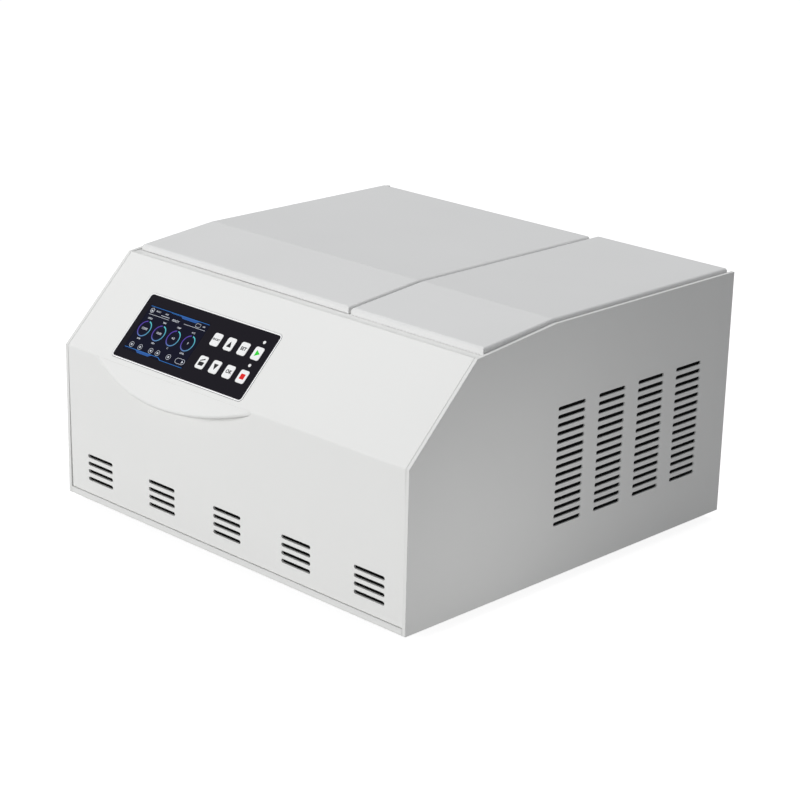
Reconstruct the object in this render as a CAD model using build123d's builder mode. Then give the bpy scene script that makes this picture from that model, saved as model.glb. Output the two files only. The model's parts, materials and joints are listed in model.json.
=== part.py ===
from build123d import *
from math import cos, radians, sin, sqrt, tan
import os

# Refrigerated benchtop centrifuge: sheet-metal cabinet, sloped console, chamber under a
# rear-hinged lid on the left, cooling plant under a fixed cover on the right.
# Millimetres. +Z is up, the console faces -Y, and the origin is on the table under the
# middle of the whole machine.

# Cabinet
width = 620.0
body_depth = 585.0
foot_height = 12.0
shoulder_height = 202.5
slope_angle = 45.0
slope_length = 150.0
incline_run = 134.0
incline_rise = 15.0
side_thickness = 5.0
sheet = 2.0
plate_sheet = 1.5
fit_gap = 0.3

# Moulded console
console_wall = 3.0
console_lean = 2.0
shoulder_round = 4.0
pan_lip = 8.0
lip_half_width = 150.0
lip_depth = 36.0
lip_x = -98.0
lip_edge = 5.0
lip_round = 3.0
lip_blend_share = 0.72
lip_root_share = 0.9

# Slots pressed in the sheet and the console
slot_length = 50.0
slot_width = 5.0
front_slot_columns = 5
front_slot_rows = 4
front_slot_margin = 63.0
front_slot_row_pitch = 10.4
front_slots_x = 2.0
front_slots_height = 44.5
side_slot_columns = 4
side_slot_rows = 15
side_slot_column_pitch = 75.0
side_slot_row_pitch = 10.5
side_slots_from_rear = 196.0
side_slots_height = 142.5
rear_slot_columns = 3
rear_slot_rows = 9
rear_slots_x = 190.0
rear_slots_height = 190.0

# Operator panel on the slope
overlay_width = 247.0
overlay_height = 98.0
overlay_corner = 6.0
overlay_x = -100.0
overlay_up = 56.0
overlay_thickness = 1.6
overlay_pocket = 1.4
window_width = 114.0
window_height = 67.0
window_x = -154.0
window_up = 55.0
key_width = 15.0
key_height = 18.0
key_corner = 3.0
key_thickness = 1.3
key_float = 0.6
key_clearance = 0.3
key_column_count = 4
key_row_count = 2
key_columns_x = -35.0
key_column_pitch = 24.9
key_rows_up = 55.0
key_row_pitch = 34.0
lens_radius = 2.2
lens_x = 2.3
lens_above_key = 16.6

# Roof: lid on the left, fixed cover on the right
roof_rise = 5.0
roof_front_rise = 8.5
roof_skin = 2.5
roof_edge_round = 4.0
lid_left_inset = 9.0
lid_cover_split_x = 88.5
lid_cover_gap = 4.0
lid_front_setback = 15.0
lid_rear_inset = 16.0
cover_rear_inset = 6.0
lid_lift_gap = 0.4

# Chamber and drive, all about one vertical axis
rotor_x = -95.0
bowl_radius = 135.0
bowl_sheet = 1.5
bowl_floor_height = 150.0
bowl_corner = 20.0
bowl_flange = 14.0
seal_height = 5.0
foam_thickness = 25.0
foam_floor = 22.0
foam_clearance = 4.5
evaporator_thickness = 5.0
shaft_radius = 8.0
running_clearance = 0.05
motor_radius = 62.0
motor_length = 86.0
motor_flange_radius = 88.0
motor_flange_thickness = 6.0
mount_height = 25.0
mount_radius = 12.0
rotor_radius = 104.0
rotor_height = 88.0
rotor_floor_clearance = 16.0
rotor_lid_height = 6.0
knob_radius = 17.0
knob_height = 20.0
stud_radius = 5.0

# Lid hinge and lock
hinge_spread = 290.0
hinge_axis_from_lid = 8.0
hinge_axis_height = 8.0
knuckle_radius = 6.0
knuckle_length = 20.0
pin_radius = 3.0
striker_setback = 21.0
striker_width = 28.0
striker_thickness = 4.0
hook_reach = 22.0
lock_bracket_depth = 24.0
lock_clearance = 7.0
hook_radius = 29.0
hook_thickness = 5.0
hook_width = 8.0
hook_rest_angle = 110.0
lock_pin_radius = 3.0

# Values worked out from the ones above
slope = radians(slope_angle)
base_z = foot_height
shoulder_z = base_z + shoulder_height
lip_reach = lip_depth * cos(slope)
front_y = -(body_depth - lip_reach) / 2
rear_y = front_y + body_depth
slope_y = front_y + slope_length * cos(slope)
slope_z = shoulder_z + slope_length * sin(slope)
bend_y = slope_y + incline_run
top_z = slope_z + incline_rise
inner_half = width / 2 - side_thickness - fit_gap
deck_z = slope_z
rear_face_y = rear_y - sheet - plate_sheet
rear_panel_y = rear_face_y - sheet
bowl_outer = bowl_radius + bowl_sheet
evaporator_inner = bowl_outer + fit_gap
evaporator_outer = evaporator_inner + evaporator_thickness
foam_outer = evaporator_outer + foam_thickness
striker_y = slope_y + striker_setback
lock_y = striker_y + hook_reach
rotor_y = lock_y + lock_bracket_depth / 2 + lock_clearance + foam_outer
bulkhead_x = rotor_x + foam_outer + foam_clearance
side_slots_y = rear_y - side_slots_from_rear
front_slot_column_pitch = (width - 2 * front_slot_margin) / (front_slot_columns - 1)
slope_plane = Plane(origin=(0, front_y, shoulder_z), x_dir=(1, 0, 0), z_dir=(0, -sin(slope), cos(slope)))
pocket_plane = slope_plane.offset(-overlay_pocket)
turning_plane = Plane(origin=(rotor_x, rotor_y, 0), x_dir=(1, 0, 0), z_dir=(0, -1, 0))
turning_axis = Axis((rotor_x, rotor_y, 0), (0, 0, 1))

os.makedirs("parts", exist_ok=True)


def write(piece, name):
    piece.part.label = name
    export_step(piece.part, "parts/" + name + ".step")


def closed_outline(*points):
    """Fills the polygon through the points in the sketch that is being drawn."""
    Polygon(*points, align=None)


def side_view(inset=0.0):
    """The cabinet seen from the side, drawn a little smaller where inset is given."""
    closed_outline(
        (front_y, base_z),
        (front_y, shoulder_z),
        (slope_y, slope_z),
        (bend_y, top_z),
        (rear_y, top_z),
        (rear_y, base_z),
    )
    if inset:
        offset(amount=-inset, kind=Kind.INTERSECTION)


def upright(y):
    """A drawing plane that faces the front at depth y."""
    return Plane.XZ.offset(-y)


# Feet and base pan
foot_inset = 60.0
foot_radius = 17.0
foot_taper = 8.0

with BuildPart() as base_pan:
    with BuildSketch(Plane.XY.offset(base_z)):
        with Locations((0, (front_y + rear_y) / 2)):
            Rectangle(2 * inner_half, body_depth)
    extrude(amount=pan_lip)
    with BuildSketch(Plane.XY.offset(base_z + sheet)):
        with Locations((0, (front_y + rear_y) / 2)):
            Rectangle(2 * (inner_half - sheet), body_depth - 2 * sheet)
    extrude(amount=pan_lip, mode=Mode.SUBTRACT)
write(base_pan, "base_pan")

with BuildPart() as rubber_feet:
    with BuildSketch(Plane.XY.offset(base_z)):
        with Locations((0, (front_y + rear_y) / 2)):
            with GridLocations(width - 2 * foot_inset, body_depth - 2 * foot_inset, 2, 2):
                Circle(foot_radius)
    extrude(amount=-foot_height, taper=foot_taper)
write(rubber_feet, "rubber_feet")


# Side panels: shallow folded trays whose rims show as the pale edge of each side
def side_panel(name, outer_x, inward, slotted):
    with BuildPart() as panel:
        with BuildSketch(Plane.YZ.offset(outer_x)):
            side_view()
        extrude(amount=inward * side_thickness)
        with BuildSketch(Plane.YZ.offset(outer_x + inward * sheet)):
            side_view(sheet)
        extrude(amount=inward * side_thickness, mode=Mode.SUBTRACT)
        if slotted:
            with BuildSketch(Plane.YZ.offset(outer_x)):
                with Locations((side_slots_y, base_z + side_slots_height)):
                    with GridLocations(side_slot_column_pitch, side_slot_row_pitch,
                                       side_slot_columns, side_slot_rows):
                        SlotOverall(slot_length, slot_width)
            extrude(amount=inward * side_thickness, mode=Mode.SUBTRACT)
    write(panel, name)


side_panel("right_side_panel", width / 2, -1, True)
side_panel("left_side_panel", -width / 2, 1, False)

# Console lip: a disc about the slope's normal, scooped out below its edge, of which only
# the part in front of the lower face is kept
lip_radius = (lip_half_width**2 + lip_depth**2) / (2 * lip_depth)
blend_depth = lip_depth * lip_blend_share
blend_run = lip_depth - blend_depth
blend_drop = blend_depth - lip_edge
scoop_offset = (blend_run**2 + blend_drop**2) / (2 * (blend_run + blend_drop))
scoop_radius = scoop_offset * sqrt(2)
scoop_r = lip_radius - blend_run + scoop_offset
scoop_m = -blend_depth + scoop_offset
lip_origin = slope_plane.from_local_coords((lip_x, lip_radius - lip_depth, 0))
lip_plane = Plane(origin=lip_origin, x_dir=(0, -cos(slope), -sin(slope)), z_dir=(-1, 0, 0))
lip_core = lip_radius - 2 * lip_depth
lip_root_y = front_y + console_wall * lip_root_share

with BuildPart() as lip:
    with BuildSketch(lip_plane):
        with BuildLine():
            Polyline((lip_core, -blend_depth), (lip_core, 0), (lip_radius - lip_round, 0))
            TangentArc((lip_radius - lip_round, 0), (lip_radius, -lip_round), tangent=(1, 0))
            Line((lip_radius, -lip_round), (lip_radius, -lip_edge))
            ThreePointArc(
                (lip_radius, -lip_edge),
                (scoop_r - scoop_radius, scoop_m),
                (lip_radius - blend_run, -blend_depth),
            )
            Line((lip_radius - blend_run, -blend_depth), (lip_core, -blend_depth))
        make_face()
    revolve(axis=Axis(lip_origin, slope_plane.z_dir))
    with BuildSketch(Plane.YZ.offset(lip_x - lip_half_width)):
        closed_outline(
            (front_y - 2 * lip_depth, shoulder_z),
            (front_y - 2 * lip_depth, shoulder_z - 2 * lip_depth),
            (lip_root_y, shoulder_z - 2 * lip_depth),
            (lip_root_y, shoulder_z),
        )
    extrude(amount=2 * lip_half_width, mode=Mode.INTERSECT)

# Moulded console: leaning lower face, shoulder and slope in one wall, with the lip
console_bottom_z = base_z + pan_lip + fit_gap
wall_end_y = slope_y + console_wall
wall_end_z = slope_z + console_wall * (tan(slope) - 1 / cos(slope))

with BuildPart() as console:
    with BuildSketch(Plane.YZ.offset(-inner_half)):
        closed_outline(
            (front_y + console_lean, console_bottom_z),
            (front_y, shoulder_z),
            (slope_y, slope_z),
            (wall_end_y, slope_z),
            (wall_end_y, wall_end_z),
            (front_y + console_wall, shoulder_z - console_wall * tan(slope / 2)),
            (front_y + console_lean + console_wall, console_bottom_z),
        )
        fillet(vertices().sort_by(Axis.X)[0], radius=shoulder_round)
    extrude(amount=2 * inner_half)
    add(lip.part)
    with BuildSketch(slope_plane):
        with Locations((overlay_x, overlay_up)):
            RectangleRounded(overlay_width + 2 * fit_gap, overlay_height + 2 * fit_gap,
                             overlay_corner + fit_gap)
    extrude(amount=-overlay_pocket, mode=Mode.SUBTRACT)
    with BuildSketch(slope_plane):
        with Locations((window_x, window_up)):
            Rectangle(window_width - 2 * sheet, window_height - 2 * sheet)
    extrude(amount=-2 * console_wall, mode=Mode.SUBTRACT)
    with BuildSketch(upright(front_y)):
        with Locations((front_slots_x, base_z + front_slots_height)):
            with GridLocations(front_slot_column_pitch, front_slot_row_pitch,
                               front_slot_columns, front_slot_rows):
                SlotOverall(slot_length, slot_width)
    extrude(amount=-(console_lean + 2 * console_wall), mode=Mode.SUBTRACT)
write(console, "front_console")


# Operator panel
def key_places():
    return GridLocations(key_column_pitch, key_row_pitch, key_column_count, key_row_count)


with BuildPart() as control_overlay:
    with BuildSketch(pocket_plane):
        with Locations((overlay_x, overlay_up)):
            RectangleRounded(overlay_width, overlay_height, overlay_corner)
        with Locations((window_x, window_up)):
            Rectangle(window_width + 2 * fit_gap, window_height + 2 * fit_gap, mode=Mode.SUBTRACT)
        with Locations((key_columns_x, key_rows_up)):
            with key_places():
                RectangleRounded(key_width + 2 * key_clearance, key_height + 2 * key_clearance,
                                 key_corner + key_clearance, mode=Mode.SUBTRACT)
        with Locations((lens_x, key_rows_up + lens_above_key)):
            with GridLocations(0, key_row_pitch, 1, key_row_count):
                Circle(lens_radius + key_clearance, mode=Mode.SUBTRACT)
    extrude(amount=overlay_thickness)
write(control_overlay, "control_overlay")

with BuildPart() as display_window:
    with BuildSketch(pocket_plane):
        with Locations((window_x, window_up)):
            Rectangle(window_width, window_height)
    extrude(amount=overlay_thickness)
write(display_window, "display_window")

display_module_thickness = 8.0
with BuildPart() as display_module:
    with BuildSketch(slope_plane.offset(-console_wall)):
        with Locations((window_x, window_up)):
            Rectangle(window_width, window_height)
    extrude(amount=-display_module_thickness)
write(display_module, "display_module")

with BuildPart() as indicator_lenses:
    with BuildSketch(pocket_plane):
        with Locations((lens_x, key_rows_up + lens_above_key)):
            with GridLocations(0, key_row_pitch, 1, key_row_count):
                Circle(lens_radius)
    extrude(amount=overlay_thickness)
write(indicator_lenses, "indicator_lenses")


def key(name, column, row):
    key_x = key_columns_x + (column - (key_column_count - 1) / 2) * key_column_pitch
    key_up = key_rows_up + ((key_row_count - 1) / 2 - row) * key_row_pitch
    with BuildPart() as cap:
        with BuildSketch(pocket_plane.offset(key_float)):
            with Locations((key_x, key_up)):
                RectangleRounded(key_width, key_height, key_corner)
        extrude(amount=key_thickness)
    write(cap, name)


key_names = [
    ["key_pulse", "key_raise", "key_set", "key_start"],
    ["key_lid_release", "key_lower", "key_confirm", "key_stop"],
]
for row, names in enumerate(key_names):
    for column, name in enumerate(names):
        key(name, column, row)

board_standoff = 14.0
board_thickness = 2.0
standoff_radius = 4.0
board_margin = 4.0
standoff_inset = 4.0
board_plane = slope_plane.offset(-console_wall - display_module_thickness - board_standoff)
with BuildPart() as control_board:
    with BuildSketch(board_plane):
        with Locations((overlay_x, overlay_up)):
            Rectangle(overlay_width - 2 * board_margin, overlay_height - 2 * board_margin)
    extrude(amount=-board_thickness)
    with BuildSketch(board_plane):
        with Locations((overlay_x, overlay_up)):
            with GridLocations(overlay_width - 2 * (board_margin + standoff_inset),
                               overlay_height - 2 * (board_margin + standoff_inset), 2, 2):
                Circle(standoff_radius)
    extrude(amount=display_module_thickness + board_standoff)
write(control_board, "control_board")

# Deck under the lid and the cover, carried by the console, the bulkhead and the rear panel
deck_front_y = wall_end_y + fit_gap
deck_rear_y = rear_panel_y - fit_gap
striker_side_gap = 2.0
striker_swing_gap = 4.0

with BuildPart() as top_deck:
    with BuildSketch(Plane.XY.offset(deck_z)):
        with Locations((0, (deck_front_y + deck_rear_y) / 2)):
            Rectangle(2 * inner_half, deck_rear_y - deck_front_y)
        with Locations((rotor_x, rotor_y)):
            Circle(bowl_outer + fit_gap, mode=Mode.SUBTRACT)
        with Locations((rotor_x, striker_y)):
            Rectangle(striker_width + 2 * striker_side_gap, striker_thickness + 2 * striker_swing_gap,
                      mode=Mode.SUBTRACT)
    extrude(amount=-sheet)
write(top_deck, "top_deck")

bulkhead_window_width = 60.0
bulkhead_window_tall = 90.0
bulkhead_window_height = 150.0
with BuildPart() as bulkhead:
    with BuildSketch(Plane.YZ.offset(bulkhead_x)):
        closed_outline(
            (slope_y, base_z + sheet),
            (slope_y, deck_z - sheet - console_wall),
            (wall_end_y + fit_gap, deck_z - sheet - console_wall),
            (wall_end_y + fit_gap, deck_z - sheet),
            (deck_rear_y, deck_z - sheet),
            (deck_rear_y, base_z + sheet),
        )
        with Locations((bend_y, base_z + bulkhead_window_height)):
            Rectangle(bulkhead_window_width, bulkhead_window_tall, mode=Mode.SUBTRACT)
    extrude(amount=sheet)
write(bulkhead, "bulkhead")

# Rear panel with its vents and screws, and the plate that carries the inlet and the switch
inlet_x = 225.0
inlet_height = 55.0
inlet_width = 30.0
inlet_tall = 22.0
switch_x = 165.0
switch_width = 22.0
switch_tall = 28.0
plate_margin = 10.0
plate_overlap = 5.0
plate_corner = 3.0
plate_left_x = switch_x - switch_width / 2 - plate_margin
plate_right_x = inlet_x + inlet_width / 2 + plate_margin
plate_x = (plate_left_x + plate_right_x) / 2
plate_width = plate_right_x - plate_left_x
plate_tall = switch_tall + 2 * plate_margin

with BuildPart() as rear_panel:
    with BuildSketch(upright(rear_panel_y)):
        with Locations((0, (base_z + pan_lip + fit_gap + deck_z) / 2)):
            Rectangle(2 * inner_half, deck_z - base_z - pan_lip - fit_gap)
        with Locations((rear_slots_x, base_z + rear_slots_height)):
            with GridLocations(side_slot_column_pitch, side_slot_row_pitch,
                               rear_slot_columns, rear_slot_rows):
                SlotOverall(slot_length, slot_width, mode=Mode.SUBTRACT)
        with Locations((plate_x, base_z + inlet_height)):
            Rectangle(plate_width - 2 * plate_overlap, plate_tall - 2 * plate_overlap, mode=Mode.SUBTRACT)
    extrude(amount=-sheet)
write(rear_panel, "rear_panel")

with BuildPart() as connector_plate:
    with BuildSketch(upright(rear_face_y)):
        with Locations((plate_x, base_z + inlet_height)):
            RectangleRounded(plate_width, plate_tall, plate_corner)
        with Locations((inlet_x, base_z + inlet_height)):
            Rectangle(inlet_width + 2 * fit_gap, inlet_tall + 2 * fit_gap, mode=Mode.SUBTRACT)
        with Locations((switch_x, base_z + inlet_height)):
            Rectangle(switch_width + 2 * fit_gap, switch_tall + 2 * fit_gap, mode=Mode.SUBTRACT)
    extrude(amount=-plate_sheet)
write(connector_plate, "connector_plate")

screw_radius = 3.5
screw_head = 2.0
screw_side_margin = 10.0
screw_end_margin = 20.0
with BuildPart() as rear_screws:
    with BuildSketch(upright(rear_face_y)):
        with Locations((0, (base_z + deck_z) / 2)):
            with GridLocations(inner_half - screw_side_margin,
                               deck_z - base_z - 2 * screw_end_margin, 3, 2):
                Circle(screw_radius)
    extrude(amount=-screw_head)
write(rear_screws, "rear_screws")


# Roof shells: the fixed cover and the lid share one side view
lid_left_x = -width / 2 + lid_left_inset
lid_right_x = lid_cover_split_x - lid_cover_gap / 2
cover_left_x = lid_cover_split_x + lid_cover_gap / 2
lid_front_y = slope_y + lid_front_setback
lid_rear_y = rear_y - lid_rear_inset
cover_rear_y = rear_y - cover_rear_inset
roof_front_z = slope_z + roof_front_rise
roof_z = top_z + roof_rise
roof_climb = (roof_z - roof_front_z) / (bend_y - lid_front_y)


def roof_view(bottom_z, rear, inset):
    """Side view of a roof shell, closed at the bottom, drawn smaller by inset on the other sides."""
    closed_outline(
        (lid_front_y + inset, bottom_z),
        (lid_front_y + inset, roof_front_z + roof_climb * inset - inset),
        (bend_y, roof_z - inset),
        (rear - inset, roof_z - inset),
        (rear - inset, bottom_z),
    )


def roof_shell(name, left, right, rear, bottom_z):
    with BuildPart() as shell:
        with BuildSketch(Plane.YZ.offset(left)):
            roof_view(bottom_z, rear, 0)
        extrude(amount=right - left)
        rounded = shell.edges().filter_by(lambda edge: edge.center().Z > roof_front_z - 1)
        rounded = rounded.filter_by(lambda edge: abs(edge.center().Y - bend_y) > 1)
        fillet(rounded, radius=roof_edge_round)
        with BuildSketch(Plane.YZ.offset(left + roof_skin)):
            roof_view(bottom_z, rear, roof_skin)
        extrude(amount=right - left - 2 * roof_skin, mode=Mode.SUBTRACT)
    write(shell, name)


roof_shell("right_top_cover", cover_left_x, inner_half, cover_rear_y, deck_z)
roof_shell("lid_shell", lid_left_x, lid_right_x, lid_rear_y, deck_z + lid_lift_gap)

# Lid lining: a flat inner plate below a wedge of foam, over the chamber seal
liner_z = deck_z + bowl_sheet + seal_height + fit_gap
liner_front_inset = 58.0
liner_rear_inset = 15.0
liner_side_inset = 20.0
liner_corner = 20.0
foam_inset = 10.0
liner_front_y = lid_front_y + liner_front_inset
liner_rear_y = lid_rear_y - liner_rear_inset
liner_left_x = lid_left_x + liner_side_inset
liner_right_x = lid_right_x - liner_side_inset
ceiling_front_z = roof_front_z - roof_skin + roof_climb * liner_front_inset

with BuildPart() as lid_liner:
    with BuildSketch(Plane.XY.offset(liner_z)):
        with Locations(((liner_left_x + liner_right_x) / 2, (liner_front_y + liner_rear_y) / 2)):
            RectangleRounded(liner_right_x - liner_left_x, liner_rear_y - liner_front_y, liner_corner)
    extrude(amount=sheet)
write(lid_liner, "lid_liner")

with BuildPart() as lid_foam:
    with BuildSketch(Plane.YZ.offset(liner_left_x + foam_inset)):
        closed_outline(
            (liner_front_y + foam_inset, liner_z + sheet),
            (liner_front_y + foam_inset, ceiling_front_z - fit_gap),
            (bend_y, roof_z - roof_skin - fit_gap),
            (liner_rear_y - foam_inset, roof_z - roof_skin - fit_gap),
            (liner_rear_y - foam_inset, liner_z + sheet),
        )
    extrude(amount=liner_right_x - liner_left_x - 2 * foam_inset)
write(lid_foam, "lid_foam")

# Chamber: deep-drawn bowl hung by its flange, evaporator sleeve, foam and seal
shaft_hole_gap = 14.0
bowl_floor_z = base_z + bowl_floor_height
bowl_inside_z = bowl_floor_z + bowl_sheet
shaft_hole = shaft_radius + shaft_hole_gap


def outer_corner(height):
    """The outermost corner of the drawn outline at a height."""
    return vertices().filter_by_position(Axis.Y, height - fit_gap, height + fit_gap).sort_by(Axis.X)[-1]


with BuildPart() as chamber_bowl:
    with BuildSketch(turning_plane):
        closed_outline(
            (shaft_hole, bowl_floor_z),
            (bowl_outer, bowl_floor_z),
            (bowl_outer, deck_z),
            (bowl_outer + bowl_flange, deck_z),
            (bowl_outer + bowl_flange, deck_z + bowl_sheet),
            (shaft_hole, deck_z + bowl_sheet),
        )
        fillet(outer_corner(bowl_floor_z), radius=bowl_corner)
    revolve(axis=turning_axis)
    with BuildSketch(turning_plane):
        closed_outline(
            (0, bowl_inside_z),
            (bowl_radius, bowl_inside_z),
            (bowl_radius, deck_z + 2 * bowl_sheet),
            (0, deck_z + 2 * bowl_sheet),
        )
        fillet(outer_corner(bowl_inside_z), radius=bowl_corner - bowl_sheet)
    revolve(axis=turning_axis, mode=Mode.SUBTRACT)
write(chamber_bowl, "chamber_bowl")


def ring(name, inner, outer, low, high):
    """A plain ring about the rotor's axis."""
    with BuildPart() as band:
        with BuildSketch(Plane.XY.offset(low)):
            with Locations((rotor_x, rotor_y)):
                Circle(outer)
                Circle(inner, mode=Mode.SUBTRACT)
        extrude(amount=high - low)
    write(band, name)


seal_margin = 2.0
evaporator_top_gap = 15.0
ring("chamber_seal", bowl_radius + seal_margin, bowl_outer + bowl_flange - seal_margin,
     deck_z + bowl_sheet, deck_z + bowl_sheet + seal_height)
ring("evaporator_sleeve", evaporator_inner, evaporator_outer, bowl_floor_z + bowl_corner,
     deck_z - sheet - evaporator_top_gap)

foam_hole_gap = 12.0
foam_hole = shaft_hole + foam_hole_gap
foam_inner = evaporator_outer + fit_gap
foam_bottom_z = bowl_floor_z - foam_floor
with BuildPart() as chamber_foam:
    with BuildSketch(turning_plane):
        closed_outline(
            (foam_hole, foam_bottom_z),
            (foam_outer, foam_bottom_z),
            (foam_outer, deck_z - sheet),
            (foam_inner, deck_z - sheet),
            (foam_inner, bowl_floor_z - fit_gap),
            (foam_hole, bowl_floor_z - fit_gap),
        )
    revolve(axis=turning_axis)
write(chamber_foam, "chamber_foam")

# Drive motor on rubber mounts, its bearing, the bellows and the shaft
mount_bottom_z = base_z + sheet
flange_z = mount_bottom_z + mount_height
motor_z = flange_z + motor_flange_thickness
motor_top_z = motor_z + motor_length
boss_radius = 32.0
boss_height = 8.0
bearing_outer = 16.0
bearing_height = 12.0
bearing_inner = shaft_radius + running_clearance
bearing_seat_z = motor_top_z + boss_height - bearing_height
shaft_in_motor = 30.0
shaft_end_gap = 1.0
mount_margin = 2.0
mount_count = 3
boss_top_z = motor_top_z + boss_height
shaft_bottom_z = motor_top_z - shaft_in_motor

with BuildPart() as motor_mounts:
    with BuildSketch(Plane.XY.offset(mount_bottom_z)):
        with Locations((rotor_x, rotor_y)):
            with PolarLocations(motor_flange_radius - mount_radius - mount_margin, mount_count):
                Circle(mount_radius)
    extrude(amount=mount_height)
write(motor_mounts, "motor_mounts")

with BuildPart() as drive_motor:
    with BuildSketch(turning_plane):
        closed_outline(
            (0, flange_z),
            (motor_flange_radius, flange_z),
            (motor_flange_radius, motor_z),
            (motor_radius, motor_z),
            (motor_radius, motor_top_z),
            (boss_radius, motor_top_z),
            (boss_radius, boss_top_z),
            (bearing_outer, boss_top_z),
            (bearing_outer, bearing_seat_z),
            (shaft_radius + shaft_end_gap, bearing_seat_z),
            (shaft_radius + shaft_end_gap, shaft_bottom_z - shaft_end_gap),
            (0, shaft_bottom_z - shaft_end_gap),
        )
    revolve(axis=turning_axis)
write(drive_motor, "drive_motor")
ring("shaft_bearing", bearing_inner, bearing_outer, bearing_seat_z, boss_top_z)

bellows_turns = 3
bellows_wall = 1.5
bellows_depth = 4.0
bellows_outer = shaft_hole - fit_gap
bellows_pitch = (bowl_inside_z - boss_top_z) / bellows_turns
outer_side = [(bellows_outer, boss_top_z)]
inner_side = [(bellows_outer - bellows_wall, boss_top_z)]
for turn in range(bellows_turns):
    waist_z = boss_top_z + bellows_pitch * (turn + 0.5)
    outer_side += [(bellows_outer - bellows_depth, waist_z),
                   (bellows_outer, waist_z + bellows_pitch / 2)]
    inner_side += [(bellows_outer - bellows_depth - bellows_wall, waist_z),
                   (bellows_outer - bellows_wall, waist_z + bellows_pitch / 2)]

with BuildPart() as shaft_bellows:
    with BuildSketch(turning_plane):
        closed_outline(*outer_side, *reversed(inner_side))
    revolve(axis=turning_axis)
write(shaft_bellows, "shaft_bellows")

# Rotor with its screwed-on lid, all turning with the shaft
rotor_bottom_z = bowl_inside_z + rotor_floor_clearance
rotor_top_z = rotor_bottom_z + rotor_height
hub_bore_depth = 61.6
hub_bore_top = rotor_bottom_z + hub_bore_depth
hub_radius = 40.0
hub_recess = 6.0
hub_flare = 14.0
rotor_foot_chamfer = 12.0
rotor_belt = 14.0
rotor_mouth_radius = 78.0
rotor_mouth_step = 4.0
rotor_mouth_drop = 6.0
shaft_chamfer = 2.0

with BuildPart() as drive_shaft:
    with BuildSketch(Plane.XY.offset(shaft_bottom_z)):
        with Locations((rotor_x, rotor_y)):
            Circle(shaft_radius)
    extrude(amount=hub_bore_top - fit_gap - shaft_bottom_z)
    chamfer(drive_shaft.edges().group_by(Axis.Z)[-1], length=shaft_chamfer)
write(drive_shaft, "drive_shaft")

with BuildPart() as rotor_body:
    with BuildSketch(turning_plane):
        closed_outline(
            (bearing_inner, rotor_bottom_z + hub_recess),
            (hub_radius, rotor_bottom_z + hub_recess),
            (hub_radius + hub_flare, rotor_bottom_z),
            (rotor_radius - rotor_foot_chamfer, rotor_bottom_z),
            (rotor_radius, rotor_bottom_z + rotor_foot_chamfer),
            (rotor_radius, rotor_bottom_z + rotor_foot_chamfer + rotor_belt),
            (rotor_mouth_radius + rotor_mouth_step, rotor_top_z - rotor_mouth_drop),
            (rotor_mouth_radius, rotor_top_z),
            (0, rotor_top_z),
            (0, hub_bore_top),
            (bearing_inner, hub_bore_top),
        )
    revolve(axis=turning_axis)
write(rotor_body, "rotor_body")

rotor_lid_top_z = rotor_top_z + rotor_lid_height
collar_radius = 22.0
collar_height = 5.0
collar_flare = 8.0
lid_rim = 2.0
stud_height = 14.0
with BuildPart() as rotor_lid:
    with BuildSketch(turning_plane):
        closed_outline(
            (0, rotor_top_z),
            (rotor_mouth_radius, rotor_top_z),
            (rotor_mouth_radius, rotor_top_z + lid_rim),
            (collar_radius + collar_flare, rotor_lid_top_z),
            (collar_radius, rotor_lid_top_z + collar_height),
            (stud_radius, rotor_lid_top_z + collar_height),
            (stud_radius, rotor_lid_top_z + collar_height + stud_height),
            (0, rotor_lid_top_z + collar_height + stud_height),
        )
    revolve(axis=turning_axis)
write(rotor_lid, "rotor_lid")

knob_z = rotor_lid_top_z + collar_height + fit_gap
grip_count = 6
grip_radius = 6.0
grip_offset = 3.0
knob_chamfer = 1.5
with BuildPart() as rotor_knob:
    with BuildSketch(Plane.XY.offset(knob_z)):
        with Locations((rotor_x, rotor_y)):
            Circle(knob_radius)
            with PolarLocations(knob_radius + grip_offset, grip_count):
                Circle(grip_radius, mode=Mode.SUBTRACT)
    extrude(amount=knob_height)
    chamfer(rotor_knob.edges().group_by(Axis.Z)[-1], length=knob_chamfer)
    with BuildSketch(Plane.XY.offset(knob_z)):
        with Locations((rotor_x, rotor_y)):
            Circle(stud_radius + running_clearance)
    extrude(amount=stud_height + shaft_end_gap, mode=Mode.SUBTRACT)
write(rotor_knob, "rotor_knob")

# Lid hinges: brackets on the deck carry the pins, the lid's middle knuckles turn on them
hinge_y = lid_rear_y + hinge_axis_from_lid
hinge_z = deck_z + hinge_axis_height
lid_middle_x = (lid_left_x + lid_right_x) / 2
hinge_places = [lid_middle_x - hinge_spread / 2, lid_middle_x + hinge_spread / 2]
knuckle_gap = 0.3
cheek_length = 8.0
pin_bore = pin_radius + running_clearance
bracket_length = knuckle_length + 2 * knuckle_gap + 2 * cheek_length
leaf_thickness = 4.0

with BuildPart() as hinge_brackets:
    for middle in hinge_places:
        for x_start in (middle - bracket_length / 2,
                        middle + knuckle_length / 2 + knuckle_gap):
            with BuildSketch(Plane.YZ.offset(x_start)):
                with Locations((hinge_y, (deck_z + hinge_z) / 2)):
                    Rectangle(2 * knuckle_radius, hinge_z - deck_z)
                with Locations((hinge_y, hinge_z)):
                    Circle(knuckle_radius)
                    Circle(pin_radius + running_clearance / 2, mode=Mode.SUBTRACT)
            extrude(amount=cheek_length)
        with BuildSketch(Plane.XY.offset(deck_z)):
            with Locations((middle, hinge_y)):
                Rectangle(bracket_length, 2 * knuckle_radius)
        extrude(amount=hinge_z - deck_z - knuckle_radius - knuckle_gap)
write(hinge_brackets, "hinge_brackets")

with BuildPart() as hinge_pins:
    for middle in hinge_places:
        with BuildSketch(Plane.YZ.offset(middle - bracket_length / 2)):
            with Locations((hinge_y, hinge_z)):
                Circle(pin_radius)
        extrude(amount=bracket_length)
write(hinge_pins, "hinge_pins")

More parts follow.
